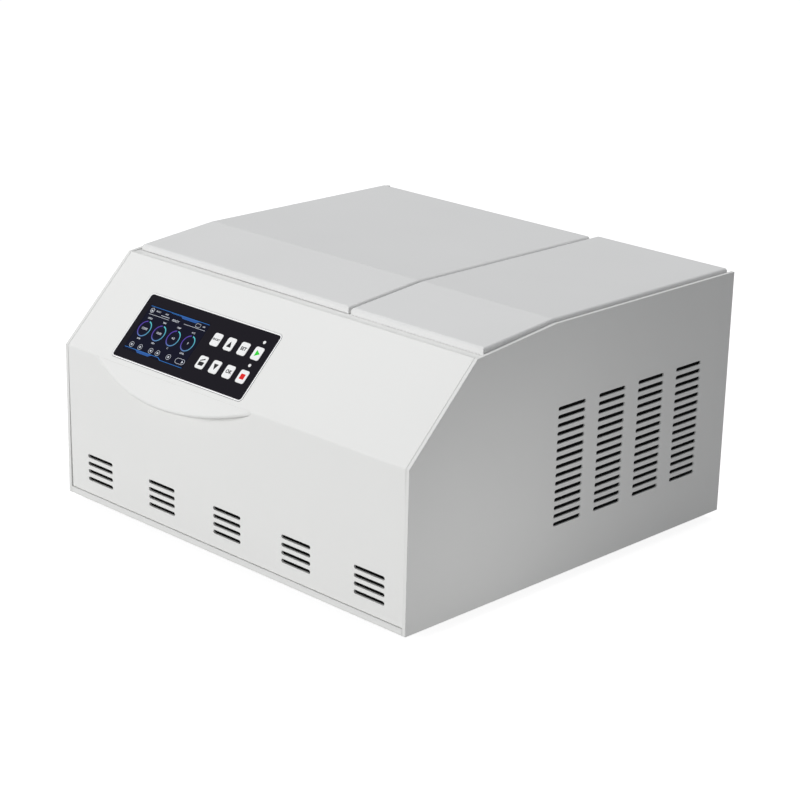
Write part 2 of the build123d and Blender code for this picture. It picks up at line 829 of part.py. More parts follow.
with BuildPart() as lid_hinge_leaves:
    for middle in hinge_places:
        with BuildSketch(Plane.YZ.offset(middle - knuckle_length / 2)):
            with Locations(((lid_rear_y + hinge_y) / 2, hinge_z + knuckle_radius - leaf_thickness / 2)):
                Rectangle(hinge_y - lid_rear_y, leaf_thickness)
            with Locations((hinge_y, hinge_z)):
                Circle(knuckle_radius)
                Circle(pin_bore, mode=Mode.SUBTRACT)
        extrude(amount=knuckle_length)
write(lid_hinge_leaves, "lid_hinge_leaves")

# Lid lock: a striker plate with a window, and a claw that swings through it
lock_depth = 35.0
window_rise = 9.0
window_tall = 17.0
window_side_gap = 4.0
striker_foot = 4.5
striker_head = 5.5
striker_tab = 2.0
striker_corner = 2.0
lock_z = deck_z - lock_depth
window_low = lock_z + window_rise
window_high = window_low + window_tall
striker_bottom_z = window_low - striker_foot
striker_top_z = deck_z + lid_lift_gap + striker_head

with BuildPart() as lid_striker:
    with BuildSketch(upright(striker_y + striker_thickness / 2)):
        with Locations((rotor_x, (striker_bottom_z + striker_top_z) / 2)):
            RectangleRounded(striker_width, striker_top_z - striker_bottom_z, striker_corner)
        with Locations((rotor_x, (window_low + window_high) / 2)):
            Rectangle(hook_width + 2 * window_side_gap, window_high - window_low, mode=Mode.SUBTRACT)
    extrude(amount=striker_thickness)
    with BuildSketch(Plane.XY.offset(striker_top_z - striker_tab)):
        with Locations((rotor_x, (lid_front_y + roof_skin + striker_y) / 2)):
            Rectangle(striker_width, striker_y - lid_front_y - roof_skin)
    extrude(amount=striker_tab)
write(lid_striker, "lid_striker")

hook_hub = 7.0
hook_heel_angle = 60.0
hook_arm_angle = 85.0


def round_lock(angle, distance):
    """The point at an angle, in degrees, and a distance about the lock's axis."""
    return lock_y + distance * cos(radians(angle)), lock_z + distance * sin(radians(angle))


with BuildPart() as lock_hook:
    with BuildSketch(Plane.YZ.offset(rotor_x - hook_width / 2)):
        with Locations((lock_y, lock_z)):
            Circle(hook_radius + hook_thickness / 2)
            Circle(hook_radius - hook_thickness / 2, mode=Mode.SUBTRACT)
        Polygon((lock_y, lock_z), round_lock(hook_heel_angle, 2 * hook_radius),
                round_lock(hook_rest_angle, 2 * hook_radius), align=None, mode=Mode.INTERSECT)
        closed_outline((lock_y, lock_z), round_lock(hook_heel_angle, hook_radius),
                       round_lock(hook_arm_angle, hook_radius))
        with Locations((lock_y, lock_z)):
            Circle(hook_hub)
            Circle(lock_pin_radius + running_clearance, mode=Mode.SUBTRACT)
    extrude(amount=hook_width)
write(lock_hook, "lock_hook")

cheek_gap = 1.0
cheek_thickness = 3.0
lock_bracket_drop = 12.0
lock_bracket_width = hook_width + 2 * cheek_gap + 2 * cheek_thickness
lock_bracket_z = lock_z - lock_bracket_drop
lock_motor_radius = 10.0
lock_motor_length = 38.0

with BuildPart() as lock_bracket:
    for x_start in (rotor_x - lock_bracket_width / 2, rotor_x + hook_width / 2 + cheek_gap):
        with BuildSketch(Plane.YZ.offset(x_start)):
            with Locations((lock_y, (lock_bracket_z + deck_z - sheet) / 2)):
                Rectangle(lock_bracket_depth, deck_z - sheet - lock_bracket_z)
            with Locations((lock_y, lock_z)):
                Circle(lock_pin_radius + running_clearance / 2, mode=Mode.SUBTRACT)
        extrude(amount=cheek_thickness)
    with BuildSketch(Plane.XY.offset(lock_bracket_z)):
        with Locations((rotor_x, lock_y)):
            Rectangle(lock_bracket_width, lock_bracket_depth)
    extrude(amount=-cheek_thickness)
write(lock_bracket, "lock_bracket")

with BuildPart() as lock_pin:
    with BuildSketch(Plane.YZ.offset(rotor_x - lock_bracket_width / 2)):
        with Locations((lock_y, lock_z)):
            Circle(lock_pin_radius)
    extrude(amount=lock_bracket_width)
write(lock_pin, "lock_pin")

with BuildPart() as lock_motor:
    with BuildSketch(Plane.XY.offset(lock_bracket_z - cheek_thickness)):
        with Locations((rotor_x, lock_y)):
            Circle(lock_motor_radius)
    extrude(amount=-lock_motor_length)
write(lock_motor, "lock_motor")

# Cooling plant behind the slotted side
condenser_depth = 270.0
condenser_height = 165.0
condenser_thickness = 38.0
condenser_side_gap = 15.0
condenser_frame = 4.0
condenser_x = inner_half - condenser_side_gap - condenser_thickness
condenser_z = base_z + sheet
condenser_y = side_slots_y
fan_z = condenser_z + condenser_height / 2
fan_radius = 72.0
fan_clearance = 2.0
fan_depth = 16.0
shroud_depth = 26.0
shroud_sheet = 2.0
fin_pitch = 9.0
fin_thickness = 1.2
fin_root = 1.0
fin_count = int((condenser_depth - 2 * condenser_frame) / fin_pitch)
coil_rows = 5
coil_tube = 8.0
coil_row_pitch = condenser_height / (coil_rows + 1)

with BuildPart() as condenser:
    with BuildSketch(Plane.YZ.offset(condenser_x)):
        with Locations((condenser_y, fan_z)):
            Rectangle(condenser_depth, condenser_height)
            Rectangle(condenser_depth - 2 * condenser_frame, condenser_height - 2 * condenser_frame,
                      mode=Mode.SUBTRACT)
    extrude(amount=condenser_thickness)
    with BuildSketch(Plane.YZ.offset(condenser_x + condenser_frame)):
        with Locations((condenser_y, fan_z)):
            with GridLocations(fin_pitch, 1, fin_count, 1):
                Rectangle(fin_thickness, condenser_height - 2 * (condenser_frame - fin_root))
    extrude(amount=condenser_thickness - 2 * condenser_frame)
    with BuildSketch(Plane.YZ.offset(condenser_x + (condenser_thickness - coil_tube) / 2)):
        with Locations((condenser_y, fan_z)):
            with GridLocations(1, coil_row_pitch, 1, coil_rows):
                Rectangle(condenser_depth - 2 * (condenser_frame - fin_root), coil_tube)
    extrude(amount=coil_tube)
write(condenser, "condenser")

with BuildPart() as fan_shroud:
    with BuildSketch(Plane.YZ.offset(condenser_x)):
        with Locations((condenser_y, fan_z)):
            Rectangle(condenser_depth, condenser_height)
            Circle(fan_radius + fan_clearance, mode=Mode.SUBTRACT)
    extrude(amount=-shroud_sheet)
    with BuildSketch(Plane.YZ.offset(condenser_x - shroud_sheet)):
        with Locations((condenser_y, fan_z)):
            Circle(fan_radius + fan_clearance + shroud_sheet)
            Circle(fan_radius + fan_clearance, mode=Mode.SUBTRACT)
    extrude(amount=-shroud_depth)
write(fan_shroud, "fan_shroud")

fan_hub = 26.0
fan_back_x = condenser_x - shroud_sheet - shroud_depth
fan_motor_gap = 4.0
fan_x = fan_back_x + fan_motor_gap
spider_arm = 10.0
spider_root = 0.5
blade_root = 3.0
fan_motor_length = 34.0
blade_count = 5
blade_thickness = 2.5
blade_chord = 26.0
blade_pitch = 0.55
blade_length = fan_radius - fan_hub
fan_shaft_radius = 4.0
with BuildPart() as fan_motor:
    with BuildSketch(Plane.YZ.offset(fan_back_x)):
        with Locations((condenser_y, fan_z)):
            Circle(fan_hub)
    extrude(amount=-fan_motor_length)
    with BuildSketch(Plane.YZ.offset(fan_back_x)):
        with Locations((condenser_y, fan_z)):
            Circle(fan_radius + fan_clearance + shroud_sheet)
            Circle(fan_radius + fan_clearance, mode=Mode.SUBTRACT)
            Rectangle(2 * (fan_radius + fan_clearance + spider_root), spider_arm)
            Rectangle(spider_arm, 2 * (fan_radius + fan_clearance + spider_root))
    extrude(amount=-sheet)
    with BuildSketch(Plane.YZ.offset(fan_back_x)):
        with Locations((condenser_y, fan_z)):
            Circle(fan_shaft_radius)
    extrude(amount=fan_depth)
write(fan_motor, "fan_motor")

with BuildPart() as condenser_fan:
    with BuildSketch(Plane.YZ.offset(fan_x)):
        with Locations((condenser_y, fan_z)):
            Circle(fan_hub)
            Circle(fan_shaft_radius + running_clearance, mode=Mode.SUBTRACT)
    extrude(amount=fan_depth)
    for blade in range(blade_count):
        turn = radians(360 / blade_count * blade)
        outward = Vector(0, cos(turn), sin(turn))
        along_rim = Vector(0, -sin(turn), cos(turn))
        root_place = Vector(fan_x + fan_depth / 2, condenser_y, fan_z) + outward * (fan_hub - blade_root)
        root = Plane(origin=root_place, x_dir=along_rim + Vector(blade_pitch, 0, 0), z_dir=outward)
        with BuildSketch(root):
            Rectangle(blade_chord, blade_thickness)
        extrude(amount=blade_length)
write(condenser_fan, "condenser_fan")

# Hermetic compressor on rubber mounts, between the bulkhead and the slotted side
compressor_gap = 24.0
compressor_from_front = 107.0
compressor_radius = 58.0
compressor_height = 150.0
compressor_dome = 24.0
compressor_lift = 12.0
compressor_plate = 4.0
compressor_foot_width = 136.0
compressor_foot_depth = 86.0
compressor_foot_corner = 12.0
compressor_mount_radius = 8.0
compressor_mount_inset = 10.0
compressor_x = bulkhead_x + sheet + compressor_gap + compressor_radius
compressor_y = front_y + compressor_from_front + compressor_radius
compressor_z = base_z + sheet + compressor_lift
compressor_top_z = compressor_z + compressor_height
dome_cut = compressor_dome * (1 - cos(radians(45)))
compressor_plane = Plane(origin=(compressor_x, compressor_y, 0), x_dir=(1, 0, 0), z_dir=(0, -1, 0))

with BuildPart() as compressor:
    with BuildSketch(compressor_plane):
        closed_outline(
            (0, compressor_z),
            (compressor_radius - compressor_dome, compressor_z),
            (compressor_radius - dome_cut, compressor_z + dome_cut),
            (compressor_radius, compressor_z + compressor_dome),
            (compressor_radius, compressor_top_z - compressor_dome),
            (compressor_radius - dome_cut, compressor_top_z - dome_cut),
            (compressor_radius - compressor_dome, compressor_top_z),
            (0, compressor_top_z),
        )
    revolve(axis=Axis((compressor_x, compressor_y, 0), (0, 0, 1)))
    with BuildSketch(Plane.XY.offset(compressor_z)):
        with Locations((compressor_x, compressor_y)):
            RectangleRounded(compressor_foot_width, compressor_foot_depth, compressor_foot_corner)
    extrude(amount=compressor_plate)
write(compressor, "compressor")

with BuildPart() as compressor_mounts:
    with BuildSketch(Plane.XY.offset(base_z + sheet)):
        with Locations((compressor_x, compressor_y)):
            with GridLocations(compressor_foot_width - 2 * compressor_mount_inset,
                               compressor_foot_depth - 2 * compressor_mount_inset, 2, 2):
                Circle(compressor_mount_radius)
    extrude(amount=compressor_lift)
write(compressor_mounts, "compressor_mounts")

# Electronics on the base pan
electronics_side_gap = 30.0
electronics_from_front = 50.0
electronics_depth = 90.0
inverter_width = 170.0
inverter_height = 70.0
supply_width = 120.0
supply_height = 50.0
supply_gap = 30.0
electronics_y = front_y + electronics_from_front + electronics_depth / 2
inverter_x = -inner_half + electronics_side_gap + inverter_width / 2
supply_x = inverter_x + inverter_width / 2 + supply_gap + supply_width / 2


def boxed_unit(name, middle_x, unit_width, unit_height):
    """A closed electronics case that stands on the base pan."""
    with BuildPart() as unit:
        with BuildSketch(Plane.XY.offset(base_z + sheet)):
            with Locations((middle_x, electronics_y)):
                Rectangle(unit_width, electronics_depth)
        extrude(amount=unit_height)
    write(unit, name)


boxed_unit("motor_inverter", inverter_x, inverter_width, inverter_height)
boxed_unit("power_supply", supply_x, supply_width, supply_height)

# Mains inlet and power switch in the rear panel
inlet_depth = 28.0
inlet_wall = 2.0
inlet_floor = 4.0
flange_extra = 8.0
inlet_corner = 3.0
contact_count = 3
contact_spacing = 7.0
contact_drop = 3.0
contact_length = 18.0
contact_width = 2.0
contact_tall = 6.0
flange_y = rear_y
inlet_z = base_z + inlet_height

with BuildPart() as mains_inlet:
    with BuildSketch(upright(flange_y)):
        with Locations((inlet_x, inlet_z)):
            RectangleRounded(inlet_width + flange_extra, inlet_tall + flange_extra, inlet_corner)
    extrude(amount=sheet)
    with BuildSketch(upright(flange_y)):
        with Locations((inlet_x, inlet_z)):
            Rectangle(inlet_width, inlet_tall)
    extrude(amount=inlet_depth)
    with BuildSketch(upright(flange_y)):
        with Locations((inlet_x, inlet_z)):
            Rectangle(inlet_width - 2 * inlet_wall, inlet_tall - 2 * inlet_wall)
    extrude(amount=inlet_depth - inlet_floor, mode=Mode.SUBTRACT)
    with BuildSketch(upright(flange_y - inlet_depth + inlet_floor / 2)):
        with Locations((inlet_x, inlet_z - contact_drop)):
            with GridLocations(contact_spacing, 1, contact_count, 1):
                Rectangle(contact_width, contact_tall)
    extrude(amount=-contact_length)
write(mains_inlet, "mains_inlet")

housing_depth = 26.0
housing_wall = 1.5
well_depth = 18.0
switch_corner = 2.0
rocker_depth = 10.0
rocker_axis_y = flange_y - rocker_depth
rocker_radius = switch_tall / 2 - housing_wall - fit_gap
rocker_front = 7.5
rocker_back = 5.0
rocker_axle_radius = 2.0

with BuildPart() as switch_housing:
    with BuildSketch(upright(flange_y)):
        with Locations((switch_x, inlet_z)):
            RectangleRounded(switch_width + flange_extra, switch_tall + flange_extra, switch_corner)
    extrude(amount=sheet)
    with BuildSketch(upright(flange_y)):
        with Locations((switch_x, inlet_z)):
            Rectangle(switch_width, switch_tall)
    extrude(amount=housing_depth)
    with BuildSketch(upright(flange_y)):
        with Locations((switch_x, inlet_z)):
            Rectangle(switch_width - 2 * housing_wall, switch_tall - 2 * housing_wall)
    extrude(amount=well_depth, mode=Mode.SUBTRACT)
    with BuildSketch(Plane.YZ.offset(switch_x - switch_width / 2)):
        with Locations((rocker_axis_y, inlet_z)):
            Circle(rocker_axle_radius)
    extrude(amount=switch_width)
write(switch_housing, "switch_housing")

rocker_width = switch_width - 2 * housing_wall - 2 * fit_gap
with BuildPart() as power_rocker:
    with BuildSketch(Plane.YZ.offset(switch_x - rocker_width / 2)):
        with Locations((rocker_axis_y, inlet_z)):
            Circle(rocker_radius)
            Circle(rocker_axle_radius + running_clearance, mode=Mode.SUBTRACT)
        with Locations((rocker_axis_y + (rocker_front - rocker_back) / 2, inlet_z)):
            Rectangle(rocker_front + rocker_back, 2 * rocker_radius, mode=Mode.INTERSECT)
    extrude(amount=rocker_width)
write(power_rocker, "power_rocker")
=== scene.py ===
import json
from math import cos, radians, sin

import bmesh
import bpy
from mathutils import Matrix, Vector


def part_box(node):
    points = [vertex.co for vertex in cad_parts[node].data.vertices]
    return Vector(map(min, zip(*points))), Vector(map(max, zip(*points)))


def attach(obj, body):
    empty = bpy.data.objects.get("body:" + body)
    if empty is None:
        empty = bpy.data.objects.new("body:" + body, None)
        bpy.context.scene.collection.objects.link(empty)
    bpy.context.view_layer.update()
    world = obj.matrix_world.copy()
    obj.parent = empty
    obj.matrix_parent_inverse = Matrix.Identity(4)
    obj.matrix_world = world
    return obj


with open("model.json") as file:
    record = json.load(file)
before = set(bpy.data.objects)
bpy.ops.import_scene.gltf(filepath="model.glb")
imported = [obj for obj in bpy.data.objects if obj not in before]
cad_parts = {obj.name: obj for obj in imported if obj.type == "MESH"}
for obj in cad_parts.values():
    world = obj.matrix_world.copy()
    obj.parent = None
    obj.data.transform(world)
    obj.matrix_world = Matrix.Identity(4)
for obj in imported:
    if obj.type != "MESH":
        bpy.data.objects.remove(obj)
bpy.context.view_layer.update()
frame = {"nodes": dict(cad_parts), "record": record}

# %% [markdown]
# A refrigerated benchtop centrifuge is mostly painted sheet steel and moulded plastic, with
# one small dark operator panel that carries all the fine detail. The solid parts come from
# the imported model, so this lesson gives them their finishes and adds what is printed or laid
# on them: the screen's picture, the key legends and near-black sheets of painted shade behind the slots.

MM = 0.001
cabinet_low, cabinet_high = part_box("right_side_panel")
front_y = cabinet_low.y
base_z = cabinet_low.z
print("cabinet", [round(v, 3) for v in cabinet_low], [round(v, 3) for v in cabinet_high])

# %% [markdown]
# The camera stands where the photographer stood: in front of the right-hand corner, a little
# above the roof, with a long lens. Its place was worked out from the cabinet's edges. The
# slight roll is in the photograph too, so it is kept as a turn about the line of sight.

# %% Camera
camera_place = Vector((1.8951, -1.9308, 1.0755))
camera_azimuth = 44.14
camera_elevation = 18.80
camera_roll = 1.38
camera_lens = 99.56
sensor_width = 36

sight = Vector((
    -sin(radians(camera_azimuth)) * cos(radians(camera_elevation)),
    cos(radians(camera_azimuth)) * cos(radians(camera_elevation)),
    -sin(radians(camera_elevation)),
))
camera_data = bpy.data.cameras.new("photo_camera")
camera_data.lens = camera_lens
camera_data.sensor_width = sensor_width
camera = bpy.data.objects.new("photo_camera", camera_data)
bpy.context.scene.collection.objects.link(camera)
turn = sight.to_track_quat("-Z", "Y").to_matrix() @ Matrix.Rotation(radians(camera_roll), 3, "Z")
camera.matrix_world = Matrix.Translation(camera_place) @ turn.to_4x4()
bpy.context.scene.camera = camera
bpy.context.scene.view_settings.view_transform = "Standard"
print("camera", [round(v, 2) for v in camera_place])

# %% [markdown]
# Colours are written as the sRGB hex values that a screen shows, and Blender's shaders want
# linear light, so one function turns the first into the second. A second small function adds
# a node with its settings and its links, which keeps every material short enough to read.

# %% Colour and node helpers


def linear(hex_colour):
    """An sRGB hex colour as linear red, green, blue and full alpha."""
    channels = [int(hex_colour[i:i + 2], 16) / 255 for i in (1, 3, 5)]
    return [c / 12.92 if c <= 0.04045 else ((c + 0.055) / 1.055) ** 2.4 for c in channels] + [1.0]


def put(tree, kind, sockets=None, **settings):
    """Adds a node, sets what settings name, and fills or links its sockets."""
    made = tree.nodes.new(kind)
    for name, value in settings.items():
        setattr(made, name, value)
    for name, value in (sockets or {}).items():
        if isinstance(value, bpy.types.NodeSocket):
            tree.links.new(value, made.inputs[name])
        else:
            made.inputs[name].default_value = value
    return made


def new_material(name):
    """A material, and its node tree, which is empty."""
    material = bpy.data.materials.new(name)
    material.use_nodes = True
    material.node_tree.nodes.clear()
    return material, material.node_tree


def per_metre(size_mm):
    """The texture scale that gives features of about size_mm."""
    return 1 / (size_mm * MM)


print("mid grey is", round(linear("#808080")[0], 3), "in linear light")

# %% [markdown]
# Powder coat is a polyester powder baked onto sheet steel. It is never quite flat: it dries
# with a faint orange peel about two millimetres across, and its gloss is soft and even. Sheet
# edges are folded, not cut sharp, so a bevelled normal rounds each corner by about a
# millimetre and catches a thin line of light, as the rims of the side panels do.

# %% Powder coat and painted plastic


def coated_steel(name, colour, darker, roughness=0.42, peel_mm=2.0, edge_mm=1.0, cloud_mm=180.0):
    """Paint with orange peel; its tone drifts from colour to darker in clouds of cloud_mm."""
    material, tree = new_material(name)
    place = put(tree, "ShaderNodeTexCoord").outputs["Object"]
    cloud = put(tree, "ShaderNodeTexNoise", {"Vector": place, "Scale": per_metre(cloud_mm), "Detail": 2.0})
    tone = put(tree, "ShaderNodeMix", {"Factor": cloud.outputs["Fac"]}, data_type="RGBA")
    # Mix nodes keep a socket of every kind under one name, so the colour pair is set by place
    tone.inputs[6].default_value = linear(colour)
    tone.inputs[7].default_value = linear(darker)
    peel = put(tree, "ShaderNodeTexNoise", {"Vector": place, "Scale": per_metre(peel_mm), "Detail": 2.0})
    soft = put(tree, "ShaderNodeBevel", {"Radius": edge_mm * MM}, samples=4)
    bump = put(tree, "ShaderNodeBump", {
        "Height": peel.outputs["Fac"], "Strength": 0.06, "Distance": 0.2 * MM, "Normal": soft.outputs[0]})
    gloss = put(tree, "ShaderNodeMapRange", {
        "Value": peel.outputs["Fac"], "To Min": roughness - 0.04, "To Max": roughness + 0.05})
    shader = put(tree, "ShaderNodeBsdfPrincipled", {
        "Base Color": tone.outputs[2], "Roughness": gloss.outputs[0], "Normal": bump.outputs[0],
        "IOR": 1.5})
    put(tree, "ShaderNodeOutputMaterial", {"Surface": shader.outputs[0]})
    return material


powder_coat = coated_steel("polyester_powder_coat", "#E6E6E4", "#E1E1DF")
# The roof plates have a smoother, slightly glossier coat
lid_coat = coated_steel("smooth_powder_coat", "#E4E4E3", "#DFDFDE", roughness=0.36, peel_mm=3.0)
# The console is a polyurethane moulding, painted to match: finer grain, more matt
console_paint = coated_steel("painted_polyurethane", "#E9E9E7", "#E6E6E4", roughness=0.5,
                             peel_mm=1.0, edge_mm=1.2)
print("coats", powder_coat.name, lid_coat.name, console_paint.name)

# %% [markdown]
# Bare metals carry the marks of how they were made. The chamber bowl is deep-drawn stainless
# steel, polished round its axis, so its scratches run level round the wall. The noise that
# draws them is squeezed along one direction: fine in height, long around. Zinc plate shows
# soft spangles instead, and a machined part shows fine lines. All lines are drawn coarser
# than real ones, because finer ones wouldn't show at this distance.

# %% Metals


def brushed_metal(name, colour, roughness, line_mm, stretch, strength=0.25):
    """Metal with fine lines: stretch gives the relative fineness along X, Y and Z."""
    material, tree = new_material(name)
    place = put(tree, "ShaderNodeTexCoord").outputs["Object"]
    squeezed = put(tree, "ShaderNodeMapping", {"Vector": place, "Scale": stretch})
    lines = put(tree, "ShaderNodeTexNoise", {
        "Vector": squeezed.outputs[0], "Scale": per_metre(line_mm), "Detail": 4.0})
    gloss = put(tree, "ShaderNodeMapRange", {
        "Value": lines.outputs["Fac"], "To Min": roughness - 0.08, "To Max": roughness + 0.12})
    bump = put(tree, "ShaderNodeBump", {
        "Height": lines.outputs["Fac"], "Strength": strength, "Distance": 0.1 * MM})
    shader = put(tree, "ShaderNodeBsdfPrincipled", {
        "Base Color": linear(colour), "Metallic": 1.0, "Roughness": gloss.outputs[0],
        "Normal": bump.outputs[0]})
    put(tree, "ShaderNodeOutputMaterial", {"Surface": shader.outputs[0]})
    return material


stainless = brushed_metal("brushed_stainless_steel", "#D6D7D8", 0.3, 0.6, (0.03, 0.03, 1.0))
# The sheet under the lid is brushed straight across
liner_steel = brushed_metal("cross_brushed_stainless_steel", "#C9CACB", 0.34, 0.6, (0.02, 1.0, 1.0))
# Zinc plate is dull, with soft spangles of a few millimetres that have no direction
zinc_plate = brushed_metal("zinc_plated_steel", "#AEB1B5", 0.46, 6.0, (1.0, 1.0, 1.0), 0.1)
# Lines run round the X axis on ground steel, and up and down on turned aluminium
ground_steel = brushed_metal("ground_steel", "#A8AAAD", 0.36, 0.4, (1.0, 0.1, 0.1))
turned_aluminium = brushed_metal("turned_aluminium", "#BFC1C4", 0.42, 0.5, (1.0, 1.0, 0.05))
# Hard anodising turns aluminium a deep grey and leaves it slightly chalky
anodised_rotor = brushed_metal("hard_anodised_aluminium", "#5A5D63", 0.38, 0.5, (0.05, 0.05, 1.0), 0.15)
# Fin stock is thin rolled sheet: pale and soft, with hardly a line
fin_aluminium = brushed_metal("aluminium_fin_stock", "#A9ABAE", 0.45, 2.0, (1.0, 1.0, 0.2), 0.1)
print("metals ready, from", stainless.name, "to", fin_aluminium.name)

# %% [markdown]
# Rubber, foam and moulded black plastic are all dark, and the eye tells them apart by their
# grain: rubber is smooth with a dull sheen, foam has open cells about a millimetre across,
# and moulded plastic has a fine spark-eroded grain. One function makes them all, the smoother
# enamel, lens, film and glass as well, because only the numbers differ, and also the
# near-black sheets that are painted shade behind the slots.

# %% Plastics, rubber and foam


def grained(name, colour, roughness, grain_mm, strength, specular=0.5):
    """One colour with a grain of grain_mm; strength says how deep the grain looks."""
    material, tree = new_material(name)
    place = put(tree, "ShaderNodeTexCoord").outputs["Object"]
    grain = put(tree, "ShaderNodeTexNoise", {"Vector": place, "Scale": per_metre(grain_mm), "Detail": 3.0})
    bump = put(tree, "ShaderNodeBump", {
        "Height": grain.outputs["Fac"], "Strength": strength, "Distance": 0.3 * MM})
    gloss = put(tree, "ShaderNodeMapRange", {
        "Value": grain.outputs["Fac"], "To Min": roughness - 0.05, "To Max": roughness + 0.05})
    shader = put(tree, "ShaderNodeBsdfPrincipled", {
        "Base Color": linear(colour), "Roughness": gloss.outputs[0], "Normal": bump.outputs[0],
        "Specular IOR Level": specular})
    put(tree, "ShaderNodeOutputMaterial", {"Surface": shader.outputs[0]})
    return material


foot_rubber = grained("nitrile_rubber", "#1B1B1C", 0.62, 0.8, 0.25)
seal_rubber = grained("silicone_seal_rubber", "#3A3B3D", 0.5, 0.6, 0.15)
# The near-black sheet colour is painted shade for the dark seen through the slots; closed foam keeps a skin
# with a dull sheen
painted_slot_shade = grained("painted_slot_shade_black", "#050505", 0.95, 1.0, 1.0, 0.1)
closed_foam = grained("closed_cell_nitrile_foam", "#2B2C2E", 0.85, 1.2, 0.6, 0.3)
moulded_black = grained("moulded_abs_black", "#151516", 0.48, 0.4, 0.2)
motor_enamel = grained("stoving_enamel_grey", "#4A4D50", 0.38, 1.5, 0.1)
solder_mask = grained("glass_fibre_circuit_board", "#14552C", 0.4, 0.7, 0.1)
key_print = grained("satin_polycarbonate_white", "#F1F1F1", 0.4, 0.3, 0.05)
lens_plastic = grained("clear_acrylic_lens", "#EDEDED", 0.15, 2.0, 0.02)
# The overlay is polyester film printed black on its back, satin on its face
overlay_film = grained("satin_polyester_film", "#15121A", 0.34, 0.3, 0.04, 0.2)
# The screen is a switched-on display behind glossy glass: very dark navy, sharp reflections
screen_glass = grained("display_cover_glass", "#07081F", 0.12, 40.0, 0.0, 0.25)
print("plastics ready, from", foot_rubber.name, "to", screen_glass.name)

# %% [markdown]
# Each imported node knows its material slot, so the finishes are handed out by slot: a table
# from slot to finish, and one loop over the nodes. Three nodes have a finish of their own.
# The meshes stay as they are.

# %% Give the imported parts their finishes
finishes = {
    "coated_panel": powder_coat,
    "coated_console": console_paint,
    "coated_lid": lid_coat,
    "zinc_sheet": zinc_plate,
    "stainless": stainless,
    "rotor_alloy": anodised_rotor,
    "bare_alloy": turned_aluminium,
    "steel_pin": ground_steel,
    "black_rubber": foot_rubber,
    "grey_foam": closed_foam,
    "overlay_black": overlay_film,
    "screen_glass": screen_glass,
    "key_white": key_print,
    "lens_white": lens_plastic,
    "black_plastic": moulded_black,
    "board_green": solder_mask,
    "motor_grey": motor_enamel,
}
own_finishes = {"chamber_seal": seal_rubber, "condenser": fin_aluminium, "lid_liner": liner_steel}
slot_of = {part["node"]: part["material_slot"] for part in frame["record"]["subparts"]}
for node_name, node_object in frame["nodes"].items():
    finish = own_finishes.get(node_name) or finishes[slot_of[node_name]]
    if not node_object.material_slots:
        node_object.data.materials.append(finish)
    for material_slot in node_object.material_slots:
        material_slot.material = finish
print(len(frame["nodes"]), "nodes finished")

# %% [markdown]
# The operator panel lies on the console's slope. Everything printed there is drawn flat, in
# millimetres, with x across and up along the slope, and one matrix lays it on the surface.
# The same matrix, turned round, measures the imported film, screen and keys in that flat frame,
# so each print finds its place from the node that carries it.

# %% A flat frame on the slope
slope_angle = radians(45)
shoulder_height = 0.2025
shoulder_z = base_z + shoulder_height
slope_frame = Matrix((
    (1, 0, 0, 0),
    (0, cos(slope_angle), -sin(slope_angle), front_y),
    (0, sin(slope_angle), cos(slope_angle), shoulder_z),
    (0, 0, 0, 1),
))


def on_slope(node_name):
    """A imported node's low and high corners as (x, up, out) on the slope, to 0.01 mm."""
    to_slope = slope_frame.inverted()
    points = [to_slope @ vertex.co / MM for vertex in frame["nodes"][node_name].data.vertices]
    return [[round(edge(point[axis] for point in points), 2) for axis in range(3)] for edge in (min, max)]


film_low, film_high = on_slope("control_overlay")
screen_low, screen_high = on_slope("display_window")
print("film from", film_low, "to", film_high)
print("screen from", screen_low, "to", screen_high)

# %% [markdown]
# Prints are thin closed slabs, a few hundredths of a millimetre thick, because a loose face
# would have no back. Each is drawn in a bmesh, which is Blender's mesh for editing, and then
# laid on its surface with its place in the mesh, so the object itself stays at the origin.

# %% From a drawing to a piece
print_thick = 0.05
print_low = film_high[2]
print_high = print_low + print_thick


def finish_piece(name, work, material, body, frame_matrix=slope_frame):
    """Turns what was drawn into a piece that rides on a body, on the slope or another frame."""
    bmesh.ops.recalc_face_normals(work, faces=work.faces)
    mesh = bpy.data.meshes.new(name)
    work.to_mesh(mesh)
    work.free()
    mesh.transform(frame_matrix)
    mesh.materials.append(material)
    piece = bpy.data.objects.new(name, mesh)
    bpy.context.scene.collection.objects.link(piece)
    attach(piece, body)
    print(name, "has", len(mesh.polygons), "faces and rides on", body)


print("prints lie", print_low, "to", print_high, "mm above the slope")

# %% [markdown]
# Each print starts as outlines of (x, up) points. Two kinds of solid are made from them: a
# slab from one outline, whose face is lowered to give it a back and sides, and a ring from an
# outer and an inner outline, whose four walls are joined corner by corner.

# %% Slabs, rings and their outlines


def slab(work, loops, low_mm=print_low, high_mm=print_high):
    """Adds a closed slab to work for each loop, an outline of (x, up) points in mm."""
    for loop in loops:
        face = work.faces.new([work.verts.new((x * MM, up * MM, high_mm * MM)) for x, up in loop])
        lowered = bmesh.ops.extrude_face_region(work, geom=[face])
        moved = [v for v in lowered["geom"] if isinstance(v, bmesh.types.BMVert)]
        bmesh.ops.translate(work, verts=moved, vec=(0, 0, (low_mm - high_mm) * MM))


def ring_band(work, outer, inner, low_mm=print_low, high_mm=print_high):
    """Adds a closed ring between two outlines that have the same number of points."""
    n = len(outer)
    rows = []
    for points, height in ((outer, high_mm), (inner, high_mm), (inner, low_mm), (outer, low_mm)):
        rows.append([work.verts.new((x * MM, up * MM, height * MM)) for x, up in points])
    for level in range(4):
        here = rows[level]
        there = rows[(level + 1) % 4]
        for i in range(n):
            work.faces.new((here[i], here[(i + 1) % n], there[(i + 1) % n], there[i]))


